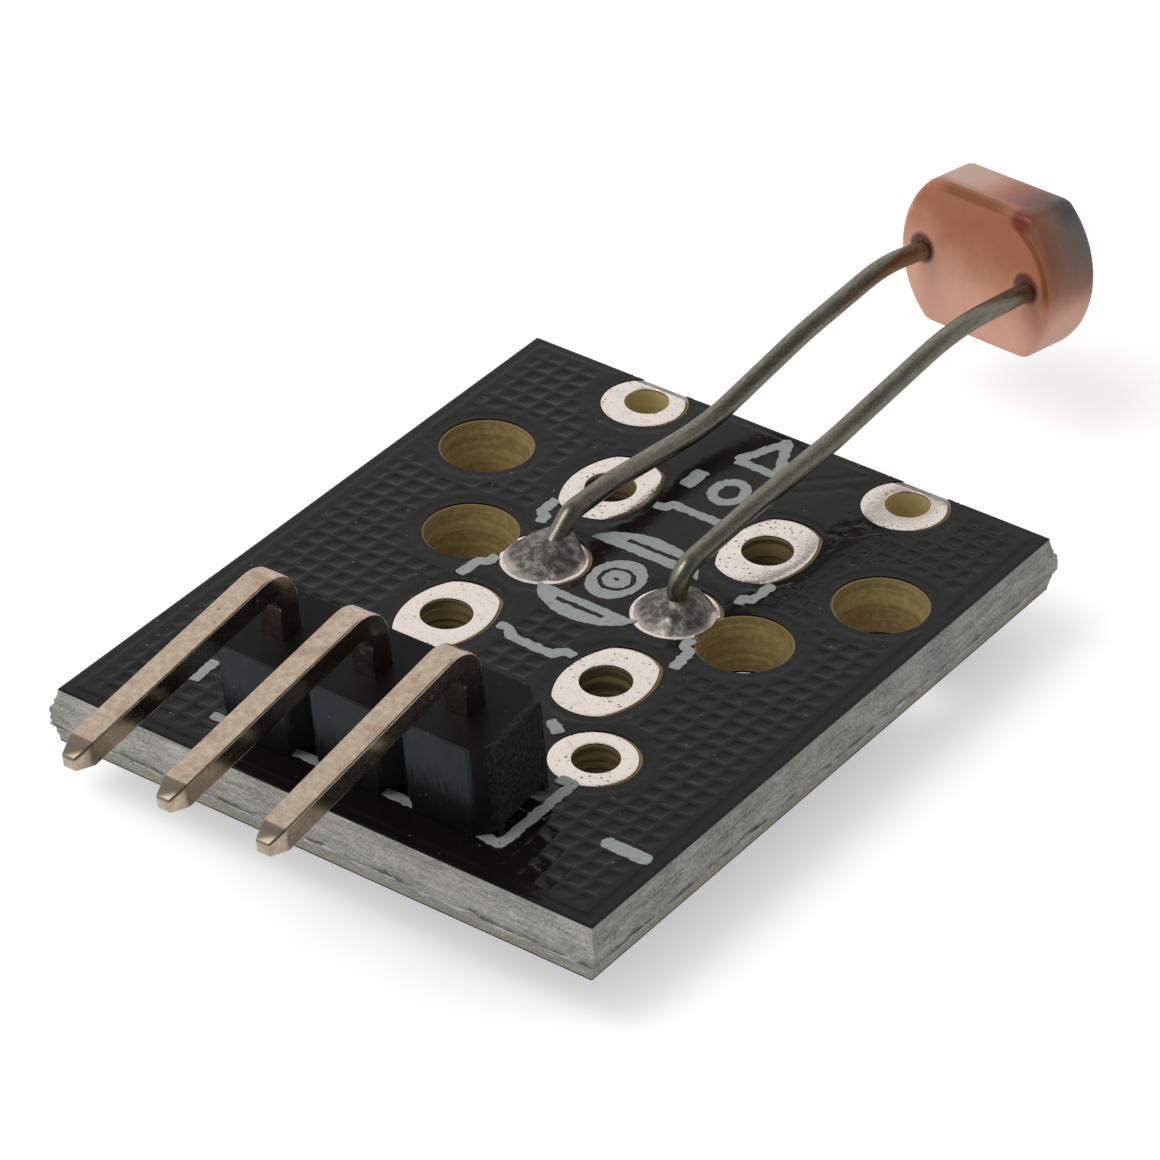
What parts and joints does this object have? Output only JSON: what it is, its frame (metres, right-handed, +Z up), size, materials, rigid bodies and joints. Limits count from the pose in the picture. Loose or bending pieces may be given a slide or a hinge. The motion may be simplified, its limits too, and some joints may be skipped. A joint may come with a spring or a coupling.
{
  "type": "light sensor module",
  "caption": "Small black circuit board with a right-angle pin header on one edge and a photoresistor reaching out past the other on two long bent leads.",
  "frame": {"origin": "middle of the board's underside, on the solder mask's face", "axes": "+X along the pin row, +Y from the header towards the sensor, +Z up out of the component side"},
  "size_m": [0.0154, 0.033, 0.0074],
  "materials": {
    "laminate": "glass fibre laminate, snapped edges pale grey with fibre streaks, hole walls yellow brown",
    "solder_mask": "glossy black brown solder mask over hatched foil",
    "tinned_pads": "tinned foil with a warm cast and dark specks",
    "header_plastic": "satin black moulded plastic, rough at the snapped end",
    "header_pins": "plated pins, pinkish tan and lightly tarnished",
    "solder": "dull grey solder with dark specks",
    "sensor_leads": "dull tinned wire with drawn streaks",
    "sensor_ceramic": "unglazed",
    "sensor_resin": "orange pink resin, slightly see-through",
    "sensor_film": "orange red light sensitive film",
    "sensor_electrodes": "thin evaporated metal",
    "resistor_body": "black glazed face on pale ceramic",
    "resistor_caps": "tinned"
  },
  "bodies": {
    "root": {"header_housing": "header_plastic", "header_joint_1": "solder", "header_joint_2": "solder", "header_joint_3": "solder", "header_pin_1": "header_pins", "header_pin_2": "header_pins", "header_pin_3": "header_pins", "laminate": "laminate", "mask_bottom": "solder_mask", "mask_top": "solder_mask", "pad_back_left": "tinned_pads", "pad_back_right": "tinned_pads", "pad_header_1": "tinned_pads", "pad_header_2": "tinned_pads", "pad_header_3": "tinned_pads", "pad_resistor_left": "tinned_pads", "pad_resistor_right": "tinned_pads", "pad_sensor_left": "tinned_pads", "pad_sensor_right": "tinned_pads", "pad_single": "tinned_pads", "pad_switch_back_left": "tinned_pads", "pad_switch_back_right": "tinned_pads", "pad_switch_front_left": "tinned_pads", "pad_switch_front_right": "tinned_pads", "resistor_body": "resistor_body", "resistor_cap_left": "resistor_caps", "resistor_cap_right": "resistor_caps", "resistor_solder_left": "solder", "resistor_solder_right": "solder", "sensor_base": "sensor_ceramic", "sensor_electrode_left": "sensor_electrodes", "sensor_electrode_right": "sensor_electrodes", "sensor_film": "sensor_film", "sensor_joint_left": "solder", "sensor_joint_right": "solder", "sensor_lead_left": "sensor_leads", "sensor_lead_right": "sensor_leads", "sensor_resin": "sensor_resin"}
  },
  "joints": []
}
